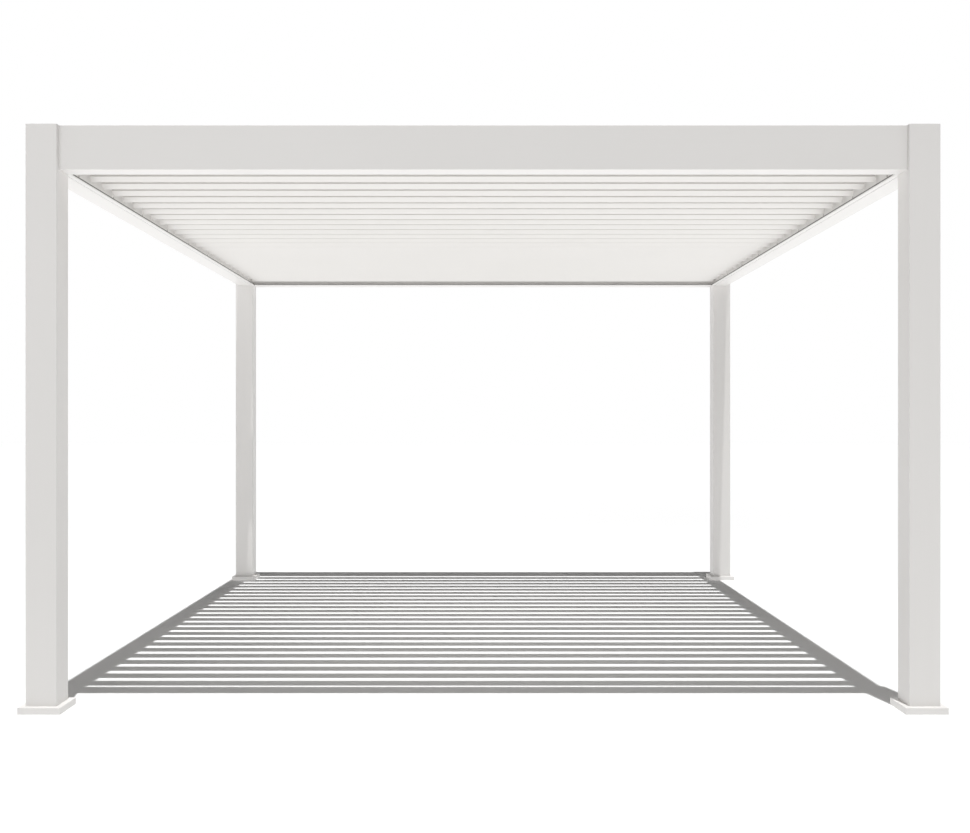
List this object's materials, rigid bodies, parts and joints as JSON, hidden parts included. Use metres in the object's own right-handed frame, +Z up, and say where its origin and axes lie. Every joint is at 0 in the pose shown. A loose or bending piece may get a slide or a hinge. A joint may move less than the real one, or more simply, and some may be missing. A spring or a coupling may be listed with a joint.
{
  "type": "louvred roof pergola",
  "caption": "Free-standing aluminium pergola: four square posts on foot plates, a deep beam frame and a flat roof of turning louvres between gutter rails.",
  "frame": {"origin": "on the ground, at the middle of the footprint", "axes": "+X to the right seen from the front, +Y to the back, +Z up"},
  "size_m": [4.05, 4.33, 2.576],
  "materials": {
    "frame_coating": "fine matt powder coat, warm off-white",
    "gutter_coating": "fine matt powder coat, warm off-white",
    "louvre_coating": "fine matt powder coat, warm off-white"
  },
  "bodies": {
    "frame": {"post_front_left": "frame_coating", "post_cap_front_left": "frame_coating", "foot_plate_front_left": "frame_coating", "post_front_right": "frame_coating", "post_cap_front_right": "frame_coating", "foot_plate_front_right": "frame_coating", "post_rear_left": "frame_coating", "post_cap_rear_left": "frame_coating", "foot_plate_rear_left": "frame_coating", "post_rear_right": "frame_coating", "post_cap_rear_right": "frame_coating", "foot_plate_rear_right": "frame_coating", "beam_front": "frame_coating", "beam_rear": "frame_coating", "beam_left": "frame_coating", "beam_right": "frame_coating", "gutter_rail_left": "gutter_coating", "gutter_rail_right": "gutter_coating"},
    "louvre_01": {"louvre_01": "louvre_coating"},
    "louvre_02": {"louvre_02": "louvre_coating"},
    "louvre_03": {"louvre_03": "louvre_coating"},
    "louvre_04": {"louvre_04": "louvre_coating"},
    "louvre_05": {"louvre_05": "louvre_coating"},
    "louvre_06": {"louvre_06": "louvre_coating"},
    "louvre_07": {"louvre_07": "louvre_coating"},
    "louvre_08": {"louvre_08": "louvre_coating"},
    "louvre_09": {"louvre_09": "louvre_coating"},
    "louvre_10": {"louvre_10": "louvre_coating"},
    "louvre_11": {"louvre_11": "louvre_coating"},
    "louvre_12": {"louvre_12": "louvre_coating"},
    "louvre_13": {"louvre_13": "louvre_coating"},
    "louvre_14": {"louvre_14": "louvre_coating"},
    "louvre_15": {"louvre_15": "louvre_coating"},
    "louvre_16": {"louvre_16": "louvre_coating"},
    "louvre_17": {"louvre_17": "louvre_coating"},
    "louvre_18": {"louvre_18": "louvre_coating"},
    "louvre_19": {"louvre_19": "louvre_coating"},
    "louvre_20": {"louvre_20": "louvre_coating"},
    "louvre_21": {"louvre_21": "louvre_coating"},
    "louvre_22": {"louvre_22": "louvre_coating"},
    "louvre_23": {"louvre_23": "louvre_coating"},
    "louvre_24": {"louvre_24": "louvre_coating"},
    "louvre_25": {"louvre_25": "louvre_coating"}
  },
  "joints": [
    {"name": "louvre_01_turn", "type": "hinge", "parent": "frame", "child": "louvre_01", "pos_m": [0, -1.92807, 2.4845], "axis": [1, 0, 0], "range_deg": [-57, 43]},
    {"name": "louvre_02_turn", "type": "hinge", "parent": "frame", "child": "louvre_02", "pos_m": [0, -1.76743, 2.4845], "axis": [1, 0, 0], "range_deg": [-57, 43]},
    {"name": "louvre_03_turn", "type": "hinge", "parent": "frame", "child": "louvre_03", "pos_m": [0, -1.60679, 2.4845], "axis": [1, 0, 0], "range_deg": [-57, 43]},
    {"name": "louvre_04_turn", "type": "hinge", "parent": "frame", "child": "louvre_04", "pos_m": [0, -1.44615, 2.4845], "axis": [1, 0, 0], "range_deg": [-57, 43]},
    {"name": "louvre_05_turn", "type": "hinge", "parent": "frame", "child": "louvre_05", "pos_m": [0, -1.28551, 2.4845], "axis": [1, 0, 0], "range_deg": [-57, 43]},
    {"name": "louvre_06_turn", "type": "hinge", "parent": "frame", "child": "louvre_06", "pos_m": [0, -1.12487, 2.4845], "axis": [1, 0, 0], "range_deg": [-57, 43]},
    {"name": "louvre_07_turn", "type": "hinge", "parent": "frame", "child": "louvre_07", "pos_m": [0, -0.96423, 2.4845], "axis": [1, 0, 0], "range_deg": [-57, 43]},
    {"name": "louvre_08_turn", "type": "hinge", "parent": "frame", "child": "louvre_08", "pos_m": [0, -0.80359, 2.4845], "axis": [1, 0, 0], "range_deg": [-57, 43]},
    {"name": "louvre_09_turn", "type": "hinge", "parent": "frame", "child": "louvre_09", "pos_m": [0, -0.64295, 2.4845], "axis": [1, 0, 0], "range_deg": [-57, 43]},
    {"name": "louvre_10_turn", "type": "hinge", "parent": "frame", "child": "louvre_10", "pos_m": [0, -0.48231, 2.4845], "axis": [1, 0, 0], "range_deg": [-57, 43]},
    {"name": "louvre_11_turn", "type": "hinge", "parent": "frame", "child": "louvre_11", "pos_m": [0, -0.32167, 2.4845], "axis": [1, 0, 0], "range_deg": [-57, 43]},
    {"name": "louvre_12_turn", "type": "hinge", "parent": "frame", "child": "louvre_12", "pos_m": [0, -0.16103, 2.4845], "axis": [1, 0, 0], "range_deg": [-57, 43]},
    {"name": "louvre_13_turn", "type": "hinge", "parent": "frame", "child": "louvre_13", "pos_m": [0, -0.00039, 2.4845], "axis": [1, 0, 0], "range_deg": [-57, 43]},
    {"name": "louvre_14_turn", "type": "hinge", "parent": "frame", "child": "louvre_14", "pos_m": [0, 0.16025, 2.4845], "axis": [1, 0, 0], "range_deg": [-57, 43]},
    {"name": "louvre_15_turn", "type": "hinge", "parent": "frame", "child": "louvre_15", "pos_m": [0, 0.32089, 2.4845], "axis": [1, 0, 0], "range_deg": [-57, 43]},
    {"name": "louvre_16_turn", "type": "hinge", "parent": "frame", "child": "louvre_16", "pos_m": [0, 0.48153, 2.4845], "axis": [1, 0, 0], "range_deg": [-57, 43]},
    {"name": "louvre_17_turn", "type": "hinge", "parent": "frame", "child": "louvre_17", "pos_m": [0, 0.64217, 2.4845], "axis": [1, 0, 0], "range_deg": [-57, 43]},
    {"name": "louvre_18_turn", "type": "hinge", "parent": "frame", "child": "louvre_18", "pos_m": [0, 0.80281, 2.4845], "axis": [1, 0, 0], "range_deg": [-57, 43]},
    {"name": "louvre_19_turn", "type": "hinge", "parent": "frame", "child": "louvre_19", "pos_m": [0, 0.96345, 2.4845], "axis": [1, 0, 0], "range_deg": [-57, 43]},
    {"name": "louvre_20_turn", "type": "hinge", "parent": "frame", "child": "louvre_20", "pos_m": [0, 1.12409, 2.4845], "axis": [1, 0, 0], "range_deg": [-57, 43]},
    {"name": "louvre_21_turn", "type": "hinge", "parent": "frame", "child": "louvre_21", "pos_m": [0, 1.28473, 2.4845], "axis": [1, 0, 0], "range_deg": [-57, 43]},
    {"name": "louvre_22_turn", "type": "hinge", "parent": "frame", "child": "louvre_22", "pos_m": [0, 1.44537, 2.4845], "axis": [1, 0, 0], "range_deg": [-57, 43]},
    {"name": "louvre_23_turn", "type": "hinge", "parent": "frame", "child": "louvre_23", "pos_m": [0, 1.60601, 2.4845], "axis": [1, 0, 0], "range_deg": [-57, 43]},
    {"name": "louvre_24_turn", "type": "hinge", "parent": "frame", "child": "louvre_24", "pos_m": [0, 1.76665, 2.4845], "axis": [1, 0, 0], "range_deg": [-57, 43]},
    {"name": "louvre_25_turn", "type": "hinge", "parent": "frame", "child": "louvre_25", "pos_m": [0, 1.92729, 2.4845], "axis": [1, 0, 0], "range_deg": [-57, 43]}
  ],
  "couplings": [
    {"joint": "louvre_02_turn", "follows": "louvre_01_turn", "ratio": 1},
    {"joint": "louvre_03_turn", "follows": "louvre_01_turn", "ratio": 1},
    {"joint": "louvre_04_turn", "follows": "louvre_01_turn", "ratio": 1},
    {"joint": "louvre_05_turn", "follows": "louvre_01_turn", "ratio": 1},
    {"joint": "louvre_06_turn", "follows": "louvre_01_turn", "ratio": 1},
    {"joint": "louvre_07_turn", "follows": "louvre_01_turn", "ratio": 1},
    {"joint": "louvre_08_turn", "follows": "louvre_01_turn", "ratio": 1},
    {"joint": "louvre_09_turn", "follows": "louvre_01_turn", "ratio": 1},
    {"joint": "louvre_10_turn", "follows": "louvre_01_turn", "ratio": 1},
    {"joint": "louvre_11_turn", "follows": "louvre_01_turn", "ratio": 1},
    {"joint": "louvre_12_turn", "follows": "louvre_01_turn", "ratio": 1},
    {"joint": "louvre_13_turn", "follows": "louvre_01_turn", "ratio": 1},
    {"joint": "louvre_14_turn", "follows": "louvre_01_turn", "ratio": 1},
    {"joint": "louvre_15_turn", "follows": "louvre_01_turn", "ratio": 1},
    {"joint": "louvre_16_turn", "follows": "louvre_01_turn", "ratio": 1},
    {"joint": "louvre_17_turn", "follows": "louvre_01_turn", "ratio": 1},
    {"joint": "louvre_18_turn", "follows": "louvre_01_turn", "ratio": 1},
    {"joint": "louvre_19_turn", "follows": "louvre_01_turn", "ratio": 1},
    {"joint": "louvre_20_turn", "follows": "louvre_01_turn", "ratio": 1},
    {"joint": "louvre_21_turn", "follows": "louvre_01_turn", "ratio": 1},
    {"joint": "louvre_22_turn", "follows": "louvre_01_turn", "ratio": 1},
    {"joint": "louvre_23_turn", "follows": "louvre_01_turn", "ratio": 1},
    {"joint": "louvre_24_turn", "follows": "louvre_01_turn", "ratio": 1},
    {"joint": "louvre_25_turn", "follows": "louvre_01_turn", "ratio": 1}
  ]
}
